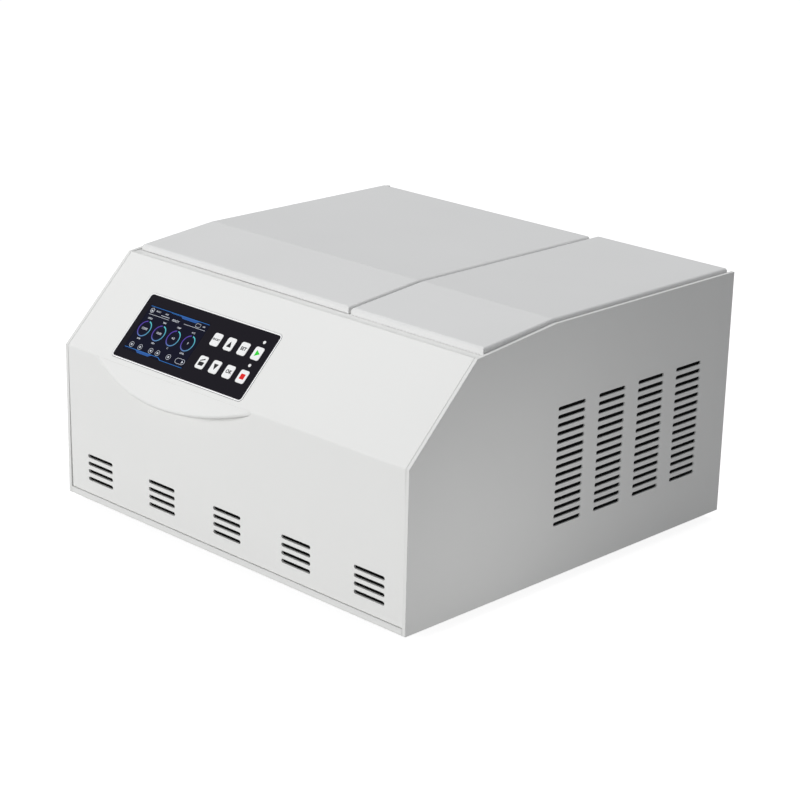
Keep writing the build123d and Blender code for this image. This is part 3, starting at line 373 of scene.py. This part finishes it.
def circle(x, up, radius, steps=24, start=0.0, sweep=360.0):
    """Points round a circle or an arc, in mm."""
    count = steps if sweep >= 360 else steps + 1
    return [(x + radius * cos(radians(start + sweep * i / steps)),
             up + radius * sin(radians(start + sweep * i / steps))) for i in range(count)]


def rounded(x, up, width, height, radius, steps=5):
    """A rectangle with rounded corners, in mm, anticlockwise from the right."""
    points = []
    for side, level, start in ((1, 1, 0), (-1, 1, 90), (-1, -1, 180), (1, -1, 270)):
        points += circle(x + side * (width / 2 - radius), up + level * (height / 2 - radius), radius,
                         steps, start, 90)
    return points


print("a circle has", len(circle(0, 0, 1)), "points, a rounded square", len(rounded(0, 0, 7, 7, 1)))

# %% [markdown]
# A switched-on display gives its own light, so its colours are emission, not paint. They stay
# below full strength, since a photograph of a lit screen in a bright room looks softer than
# the screen does alone. Printed legends are plain ink, drawn as matt colours.

# %% Inks and screen colours
unlit_screen = "#08080A"


def ink(name, colour, glow=0.0, grain_mm=0.5):
    """Printed ink, or with glow the lit picture of a display, which is black when it's off."""
    material, tree = new_material(name)
    place = put(tree, "ShaderNodeTexCoord").outputs["Object"]
    grain = put(tree, "ShaderNodeTexNoise", {"Vector": place, "Scale": per_metre(grain_mm)})
    gloss = put(tree, "ShaderNodeMapRange", {"Value": grain.outputs["Fac"], "To Min": 0.45, "To Max": 0.55})
    shader = put(tree, "ShaderNodeBsdfPrincipled", {
        "Base Color": linear(unlit_screen if glow else colour), "Roughness": gloss.outputs[0],
        "Emission Color": linear(colour), "Emission Strength": glow})
    put(tree, "ShaderNodeOutputMaterial", {"Surface": shader.outputs[0]})
    return material


def ring_light(name, first_colour, last_colour, glow):
    """The lit gauges, which fade between two colours by a value stored on each corner."""
    material, tree = new_material(name)
    share = put(tree, "ShaderNodeAttribute", attribute_name="share")
    ramp = put(tree, "ShaderNodeValToRGB", {"Fac": share.outputs["Fac"]})
    first, last = ramp.color_ramp.elements
    first.position = 0.3
    first.color = linear(first_colour)
    last.position = 0.95
    last.color = linear(last_colour)
    shader = put(tree, "ShaderNodeBsdfPrincipled", {
        "Base Color": linear(unlit_screen), "Roughness": 0.5,
        "Emission Color": ramp.outputs["Color"], "Emission Strength": glow})
    put(tree, "ShaderNodeOutputMaterial", {"Surface": shader.outputs[0]})
    return material


white_ink = ink("white_screen_ink", "#FAFAFA")
black_ink = ink("black_screen_ink", "#101014")
green_ink = ink("green_screen_ink", "#1FD42B")
red_ink = ink("red_screen_ink", "#DE0C08")
lit_blue = ink("display_blue", "#2478CC", 0.85)
lit_deep = ink("display_deep_blue", "#1A56A4", 0.85)
lit_navy = ink("display_navy", "#2B3A86", 0.6)
lit_white = ink("display_white", "#E4E9F2", 0.72)
gauge_light = ring_light("display_gauge_gradient", "#5A3CB4", "#58D2D8", 0.85)
print("inks ready, from", white_ink.name, "to", gauge_light.name)

# %% [markdown]
# The film has a printed white border, a line about 1.7 millimetres wide just inside its edge.
# It is a band between two rounded rectangles, and the inner one has the smaller corners.

# %% The film's border
film_x = (film_low[0] + film_high[0]) / 2
film_up = (film_low[1] + film_high[1]) / 2
film_width = film_high[0] - film_low[0]
film_height = film_high[1] - film_low[1]
film_corner = 6.0
border_gap = 0.1
border_width = 1.7


def inset_outline(inset):
    """The film's outline, drawn in by inset mm on every side."""
    return rounded(film_x, film_up, film_width - 2 * inset, film_height - 2 * inset, film_corner - inset)


work = bmesh.new()
ring_band(work, inset_outline(border_gap), inset_outline(border_gap + border_width))
finish_piece("overlay_border", work, white_ink, "cabinet")

# %% [markdown]
# The screen's picture is built from a few flat shapes. A bar runs along the top and another
# along the foot, each with a slanted block that hangs from it, and thin white rules underline
# the words. Places are counted in millimetres from the screen's own edges.

# %% The screen's bars
screen_left, screen_bottom = screen_low[:2]
screen_right, screen_top = screen_high[:2]
margin = 0.8
bar_left = screen_left + margin
bar_right = screen_right - margin
bar_thick = 0.7
line_thick = 0.4
drop = 3.4
head = screen_top - margin
foot = screen_bottom + 3.8


def strip(left, right, up, thick=0.5):
    """A level line of the screen's picture, as an outline."""
    return [(left, up), (left, up - thick), (right, up - thick), (right, up)]


def hanging_block(up, *across):
    """The slanted block under a bar, with its four corners counted from the screen's left."""
    levels = (up - bar_thick, up - drop, up - drop, up - bar_thick)
    return [(screen_left + place, level) for place, level in zip(across, levels)]


work = bmesh.new()
slab(work, [hanging_block(head, 58, 64, 90, 95), hanging_block(foot, 22, 27, 49, 54)])
finish_piece("screen_blocks", work, lit_deep, "cabinet")

# To the right of its block the foot bar steps down to the block's lower edge
foot_step = [
    (screen_left + 54, foot), (screen_left + 54, foot - bar_thick), (screen_left + 66, foot - bar_thick),
    (screen_left + 71, foot - drop), (bar_right, foot - drop), (bar_right, foot - drop + bar_thick),
    (screen_left + 71.5, foot - drop + bar_thick), (screen_left + 66.5, foot),
]
work = bmesh.new()
slab(work, [
    strip(bar_left, bar_right, head, bar_thick),
    strip(screen_left + 42, screen_left + 59, head - 1.2, line_thick),
    strip(screen_left + 64, screen_left + 90, head - drop, line_thick),
    strip(bar_left, screen_left + 54, foot, bar_thick),
    strip(screen_left + 27, screen_left + 49, foot - drop, 0.3),
    foot_step,
])
finish_piece("screen_bars", work, lit_blue, "cabinet")

work = bmesh.new()
slab(work, [
    strip(screen_left + 5, screen_left + 44, screen_top - 12.0),
    strip(screen_left + 72, screen_right - 2, screen_top - 10.4),
    strip(screen_left + 27, screen_left + 43, screen_top - 9.2, bar_thick),
])
finish_piece("screen_rules", work, lit_white, "cabinet")

# %% [markdown]
# The four gauges are arcs that run nearly all the way round, with a gap at the top, and they
# are slightly taller than wide. The share of the way round is stored on each corner as an
# attribute, and the material turns it into the fade from violet to teal.

# %% Gauge arcs
first_gauge = screen_left + 14.0
gauge_pitch = 28.0
gauge_places = [first_gauge + gauge_pitch * i for i in range(4)]
gauge_up = screen_bottom + 33.7
gauge_radius = 10.9
gauge_tall = 1.07
gauge_band = 1.4
gauge_steps = 48
gauge_start = 98.0
gauge_sweep = 344.0


def gauge_arc(work, share_layer, x):
    """Adds one closed arc to work, with the share of the way round on each corner."""
    inner_radius = gauge_radius - gauge_band
    rows = []
    for step in range(gauge_steps + 1):
        angle = radians(gauge_start + gauge_sweep * step / gauge_steps)
        row = []
        for radius, height in ((gauge_radius, print_high), (inner_radius, print_high),
                               (inner_radius, print_low), (gauge_radius, print_low)):
            corner = work.verts.new(((x + radius * cos(angle)) * MM,
                                     (gauge_up + gauge_tall * radius * sin(angle)) * MM, height * MM))
            corner[share_layer] = step / gauge_steps
            row.append(corner)
        rows.append(row)
    for here, there in zip(rows, rows[1:]):
        for i in range(4):
            work.faces.new((here[i], here[(i + 1) % 4], there[(i + 1) % 4], there[i]))
    work.faces.new(rows[0][::-1])
    work.faces.new(rows[-1])


work = bmesh.new()
share_layer = work.verts.layers.float.new("share")
for x in gauge_places:
    gauge_arc(work, share_layer, x)
finish_piece("screen_gauge_arcs", work, gauge_light, "cabinet")

# %% [markdown]
# Inside each arc a ring of short ticks marks the scale. Ticks repeat, so Geometry Nodes place
# them: a circle's points carry one small bar each, turned to point outwards. The tree's
# inputs are its sizes in metres, and it ends by making the instances real.

# %% Tick rings with Geometry Nodes
tick_radius = 8.6
tick_count = 24
tick_size = (0.9, 0.22, 0.04)


def tick_tree(material):
    """The tree, and the identifier of each of its named inputs."""
    tree = bpy.data.node_groups.new("ring_of_ticks", "GeometryNodeTree")
    sockets = {}
    for label, kind in (("Radius", "NodeSocketFloat"), ("Count", "NodeSocketInt"),
                        ("Tick", "NodeSocketVector")):
        sockets[label] = tree.interface.new_socket(label, in_out="INPUT", socket_type=kind).identifier
    tree.interface.new_socket("Geometry", in_out="OUTPUT", socket_type="NodeSocketGeometry")
    given = put(tree, "NodeGroupInput").outputs
    ring = put(tree, "GeometryNodeMeshCircle", {"Vertices": given["Count"], "Radius": given["Radius"]})
    bar = put(tree, "GeometryNodeMeshCube", {"Size": given["Tick"]})
    place = put(tree, "GeometryNodeInputPosition")
    facing = put(tree, "FunctionNodeAlignEulerToVector", {"Vector": place.outputs[0]}, axis="X",
                 pivot_axis="Z")
    copies = put(tree, "GeometryNodeInstanceOnPoints", {
        "Points": ring.outputs["Mesh"], "Instance": bar.outputs["Mesh"],
        "Rotation": facing.outputs[0]})
    real = put(tree, "GeometryNodeRealizeInstances", {"Geometry": copies.outputs[0]})
    painted = put(tree, "GeometryNodeSetMaterial", {"Geometry": real.outputs[0], "Material": material})
    put(tree, "NodeGroupOutput", {"Geometry": painted.outputs[0]})
    return tree, sockets


def grown(name, tree, sockets, values):
    """Runs a Geometry Nodes tree and returns its result as a plain mesh."""
    holder = bpy.data.objects.new(name, bpy.data.meshes.new(name))
    bpy.context.scene.collection.objects.link(holder)
    modifier = holder.modifiers.new("grow", "NODES")
    modifier.node_group = tree
    for label, value in values.items():
        modifier[sockets[label]] = value
    bpy.context.view_layer.update()
    mesh = bpy.data.meshes.new_from_object(holder.evaluated_get(bpy.context.evaluated_depsgraph_get()))
    holder.modifiers.remove(modifier)
    bpy.data.objects.remove(holder)
    return mesh


ticks, tick_sockets = tick_tree(lit_navy)
tick_values = {"Radius": tick_radius * MM, "Count": tick_count, "Tick": [size * MM for size in tick_size]}
work = bmesh.new()
for x in gauge_places:
    ring_mesh = grown("ticks", ticks, tick_sockets, tick_values)
    middle_mm = print_low + tick_size[2] / 2
    ring_mesh.transform(Matrix.Translation((x * MM, gauge_up * MM, middle_mm * MM)))
    work.from_mesh(ring_mesh)
    bpy.data.meshes.remove(ring_mesh)
finish_piece("screen_gauge_ticks", work, lit_navy, "cabinet")

# %% [markdown]
# Lettering starts as a text curve. It is turned into a mesh before it is placed, so that the
# placing happens in the mesh and the object stays at the origin. All the words on one body
# are joined as one piece. They are plain ones, with values and units that suit the machine.

# %% The screen's words and numbers
letter_thick = 0.03
letter_lift = 0.03
letter_steps = 3


def words(name, lines, material, body, over_mm, weight_mm):
    """Text as one piece: lines are (text, x, up, size) in mm, centred; weight_mm makes it bolder."""
    work = bmesh.new()
    for text, x, up, size in lines:
        curve = bpy.data.curves.new(name, "FONT")
        curve.body = text
        curve.size = size * MM
        curve.align_x = "CENTER"
        curve.align_y = "CENTER"
        curve.extrude = letter_thick * MM / 2
        curve.offset = weight_mm * MM
        curve.resolution_u = letter_steps
        holder = bpy.data.objects.new(name, curve)
        bpy.context.scene.collection.objects.link(holder)
        bpy.context.view_layer.update()
        mesh = bpy.data.meshes.new_from_object(holder.evaluated_get(bpy.context.evaluated_depsgraph_get()))
        mesh.transform(Matrix.Translation((x * MM, up * MM, (over_mm + letter_lift) * MM)))
        work.from_mesh(mesh)
        bpy.data.objects.remove(holder)
        bpy.data.meshes.remove(mesh)
    bmesh.ops.remove_doubles(work, verts=work.verts, dist=0.001 * MM)
    finish_piece(name, work, material, body)


value_size = 4.4
label_size = 3.1
small_size = 2.6
title_rise = 15.4
unit_drop = 14.9
lines = [
    ("READY", screen_left + 56.0, screen_top - 10.6, 4.2),
    ("PROG 1", screen_left + 19.5, screen_top - 6.0, small_size),
    ("20:45", screen_left + 35.5, screen_top - 6.0, small_size),
    ("ON", screen_right - 7.5, screen_top - 6.2, 2.8),
]
gauge_words = (("12000", "SPEED", "RPM"), ("10:00", "TIME", "MIN"), ("4.0", "TEMP", "C"),
               ("9", "ACC", "LEVEL"))
for x, (value, title, unit) in zip(gauge_places, gauge_words):
    lines.append((value, x, gauge_up, value_size))
    lines.append((title, x - 1.5, gauge_up + title_rise, label_size))
    lines.append((unit, x + 1.0, gauge_up - unit_drop, label_size))
words("screen_words", lines, lit_white, "cabinet", print_low, weight_mm=0.07)

# %% [markdown]
# The icons are line drawings, made of rings and dots: five round ones and a pill with a small
# triangle along the foot, and a hexagon and a second pill in the top bar.

# %% Screen icons
icon_up = screen_bottom + 8.6
icon_radius = 3.9
icon_line = 0.5
dot_radius = 1.5
work = bmesh.new()
for place in (10.0, 26.6, 47.4, 60.6, 81.6):
    x = screen_left + place
    ring_band(work, circle(x, icon_up, icon_radius), circle(x, icon_up, icon_radius - icon_line))
    slab(work, [circle(x, icon_up, dot_radius, 12)])

pill_x = screen_right - 10.0
pill_up = icon_up - 0.4
ring_band(work, rounded(pill_x, pill_up, 17, 7.8, 3.8), rounded(pill_x, pill_up, 16, 6.8, 3.3))
slab(work, [[(pill_x + 3.0, pill_up + 2.2), (pill_x + 3.0, pill_up - 2.2), (pill_x + 6.6, pill_up)]])

top_icon_up = screen_top - 6.6
hexagon_x = screen_left + 7.4
hexagon_line = 0.7
ring_band(work, circle(hexagon_x, top_icon_up, icon_radius, 6, 30),
          circle(hexagon_x, top_icon_up, icon_radius - hexagon_line, 6, 30))
slab(work, [rounded(hexagon_x, top_icon_up - 0.6, 2.6, 2.6, 0.3)])
top_pill_x = screen_right - 18.0
ring_band(work, rounded(top_pill_x, top_icon_up, 9, 5.4, 2.0),
          rounded(top_pill_x, top_icon_up, 8.1, 4.5, 1.6))
finish_piece("screen_icons", work, lit_white, "cabinet")

# %% [markdown]
# The keys are white pads under the film. Each legend belongs to its own key and moves with
# it, so it rides on that key's body. The pictures are the usual ones: arrows for more and
# less, a triangle for start, a square for stop and a raised lid for opening.

# %% Key legends


def key_face(key):
    """A key's name as node and body, and the middle and height of its face in mm."""
    low, high = on_slope("key_" + key)
    return "key_" + key, (low[0] + high[0]) / 2, (low[1] + high[1]) / 2, high[2]


def key_word(key, text, size):
    """A word on a key; larger letters get bolder strokes."""
    body, x, up, top = key_face(key)
    words("legend_" + key, [(text, x, up, size)], black_ink, body, top, weight_mm=0.035 * size)


def key_picture(key, loops, material):
    """A printed picture on a key, with its loops drawn round the key's middle."""
    body, x, up, top = key_face(key)
    work = bmesh.new()
    placed = [[(x + across, up + rise) for across, rise in loop] for loop in loops]
    slab(work, placed, top, top + print_thick)
    finish_piece("legend_" + key, work, material, body)


key_word("pulse", "SHORT", 4.0)
key_word("set", "SET", 6.4)
key_word("confirm", "OK", 6.8)
key_picture("raise", [[(-4.0, -4.2), (4.0, -4.2), (0, 4.2)]], black_ink)
key_picture("lower", [[(-4.0, 4.2), (4.0, 4.2), (0, -4.2)]], black_ink)
key_picture("start", [[(-3.0, 4.4), (-3.0, -4.4), (4.4, 0)]], green_ink)
key_picture("stop", [rounded(0, 0, 7.4, 7.4, 0.6)], red_ink)
key_picture("lid_release", [
    [(-4.4, -4.6), (3.6, -4.6), (4.6, -1.4), (4.6, 0.6), (-4.4, 0.6)],
    [(-4.4, 1.0), (-4.0, 2.6), (2.6, 6.0), (3.6, 4.4)],
], black_ink)

# %% [markdown]
# The mains switch at the rear has the two usual marks on its rocker, a bar for on and a ring
# for off. They are drawn the same way, on a frame that faces backwards and sits on the
# rocker's flat, and they tilt with the rocker.

# %% Marks on the mains switch
rocker_low, rocker_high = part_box("power_rocker")
rocker_frame = Matrix((
    (-1, 0, 0, (rocker_low.x + rocker_high.x) / 2),
    (0, 0, 1, rocker_high.y),
    (0, 1, 0, (rocker_low.z + rocker_high.z) / 2),
    (0, 0, 0, 1),
))
mark_up = 5.2
work = bmesh.new()
slab(work, [rounded(0, mark_up, 0.9, 4.6, 0.3, 3)], 0.0, print_thick)
ring_band(work, circle(0, -mark_up, 2.4), circle(0, -mark_up, 1.6), 0.0, print_thick)
finish_piece("switch_marks", work, white_ink, "power_rocker", rocker_frame)

# %% [markdown]
# Behind the slots lie near-black sheets, which are painted shade: they make the slots look
# black, as the dark inside them does, and not like windows into the works. Each sheet is a flat
# slab just behind the wall, and a bevel softens its edges. The front one leans with the console's
# lower wall.

# %% Painted shade behind the slots
shade_sheet_thick = 0.0025
shade_sheet_edge = 0.0008
shade_sheet_gap = 0.0002
panel_sheet = 0.002
console_wall = 0.003
console_lean = 0.002
side_inner = cabinet_high.x - panel_sheet - shade_sheet_gap
rear_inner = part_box("rear_panel")[0].y - shade_sheet_gap
console_inner = front_y + console_wall + 2 * shade_sheet_gap
console_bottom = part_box("front_console")[0].z


def shade_sheet(name, across, heights, place, thick):
    """A closed slab of painted shade: place(across, z) gives a corner by the wall, thick is the vector off
    it.
    """
    left, right = across
    low, high = heights
    corners = [place(left, low), place(right, low), place(right, high), place(left, high)]
    work = bmesh.new()
    face = work.faces.new([work.verts.new(corner) for corner in corners])
    thickened = bmesh.ops.extrude_face_region(work, geom=[face])
    moved = [v for v in thickened["geom"] if isinstance(v, bmesh.types.BMVert)]
    bmesh.ops.translate(work, verts=moved, vec=thick)
    long_edges = [edge for edge in work.edges if edge.calc_length() > 2 * shade_sheet_thick]
    bmesh.ops.bevel(work, geom=long_edges, offset=shade_sheet_edge, segments=2, affect="EDGES")
    finish_piece(name, work, painted_slot_shade, "cabinet", Matrix())


def behind_console(x, z):
    """The point just behind the console's lower wall, which leans back towards its foot."""
    share = (shoulder_z - z) / (shoulder_z - console_bottom)
    return x, console_inner + console_lean * share, z


# Each sheet reaches a few millimetres past its slots, across and in height
side_across = (front_y + 0.245, front_y + 0.533)
side_heights = (base_z + 0.062, base_z + 0.223)
front_across = (-0.29, 0.29)
front_heights = (base_z + 0.020, base_z + 0.072)
rear_across = (0.08, 0.299)
rear_heights = (base_z + 0.14, base_z + 0.24)
# Near-black sheets of painted shade stand behind the side, front and rear slots
shade_sheet("side_slot_shade", side_across, side_heights, lambda y, z: (side_inner, y, z),
           (-shade_sheet_thick, 0, 0))
shade_sheet("front_slot_shade", front_across, front_heights, behind_console, (0, shade_sheet_thick, 0))
shade_sheet("rear_slot_shade", rear_across, rear_heights, lambda x, z: (x, rear_inner, z),
           (0, -shade_sheet_thick, 0))

# %% [markdown]
# The room is a grey floor under an even sky, and the sky alone lights most of the right-hand
# side. A large soft lamp from the front left makes the console the brightest face, and one
# overhead keeps the roof a shade darker. A small lamp just above the floor lights the foot of
# the side, as a bright table would. The floor shows white to the camera and in reflections,
# and the sky only to the camera, so their white adds no light to the paint.

# %% Floor, world and lamps
floor_reach = 30.0
floor_glow = 0.88
sky_strength = 0.31
white = linear("#FFFFFF")

floor_mesh = bpy.data.meshes.new("studio_floor")
floor_mesh.from_pydata([(-floor_reach, -floor_reach, 0), (floor_reach, -floor_reach, 0),
                        (floor_reach, floor_reach, 0), (-floor_reach, floor_reach, 0)], [],
                       [(0, 1, 2, 3)])
floor = bpy.data.objects.new("studio_floor", floor_mesh)
bpy.context.scene.collection.objects.link(floor)
floor_paint, tree = new_material("studio_floor_paint")
matt = put(tree, "ShaderNodeBsdfDiffuse", {"Color": linear("#A6A6A6")})
seen = put(tree, "ShaderNodeLightPath").outputs
shown = put(tree, "ShaderNodeMath", {0: seen["Is Camera Ray"], 1: seen["Is Glossy Ray"]},
            operation="MAXIMUM")
extra = put(tree, "ShaderNodeMath", {0: shown.outputs[0], 1: floor_glow}, operation="MULTIPLY")
glow = put(tree, "ShaderNodeEmission", {"Color": white, "Strength": extra.outputs[0]})
both = put(tree, "ShaderNodeAddShader", {0: matt.outputs[0], 1: glow.outputs[0]})
put(tree, "ShaderNodeOutputMaterial", {"Surface": both.outputs[0]})
floor_mesh.materials.append(floor_paint)

world = bpy.data.worlds.new("studio_world")
bpy.context.scene.world = world
world.use_nodes = True
tree = world.node_tree
tree.nodes.clear()
seen = put(tree, "ShaderNodeLightPath").outputs
sky = put(tree, "ShaderNodeBackground", {"Color": linear("#F4F6FA"), "Strength": sky_strength})
backdrop = put(tree, "ShaderNodeBackground", {"Color": white, "Strength": 1.0})
pick = put(tree, "ShaderNodeMixShader", {
    0: seen["Is Camera Ray"], 1: sky.outputs[0], 2: backdrop.outputs[0]})
put(tree, "ShaderNodeOutputWorld", {"Surface": pick.outputs[0]})


def soft_lamp(name, place, aim, width, watts):
    """A square area lamp that the camera doesn't see, width metres across."""
    data = bpy.data.lights.new(name, "AREA")
    data.shape = "SQUARE"
    data.size = width
    data.energy = watts
    lamp = bpy.data.objects.new(name, data)
    lamp.location = place
    lamp.rotation_euler = (Vector(aim) - Vector(place)).to_track_quat("-Z", "Y").to_euler()
    lamp.visible_camera = False
    bpy.context.scene.collection.objects.link(lamp)
    print(name, "gives", watts, "W from", width, "m")


soft_lamp("front_softbox", place=(-1.7, -6.2, 1.45), aim=(0, 0, 0.2), width=3.0, watts=269)
soft_lamp("top_softbox", place=(-0.4, 0.6, 3.2), aim=(0, 0, 0.3), width=2.4, watts=54)
soft_lamp("floor_bounce", place=(0.7, -0.2, 0.01), aim=(0.31, -0.12, 0.0), width=0.3, watts=0.76)
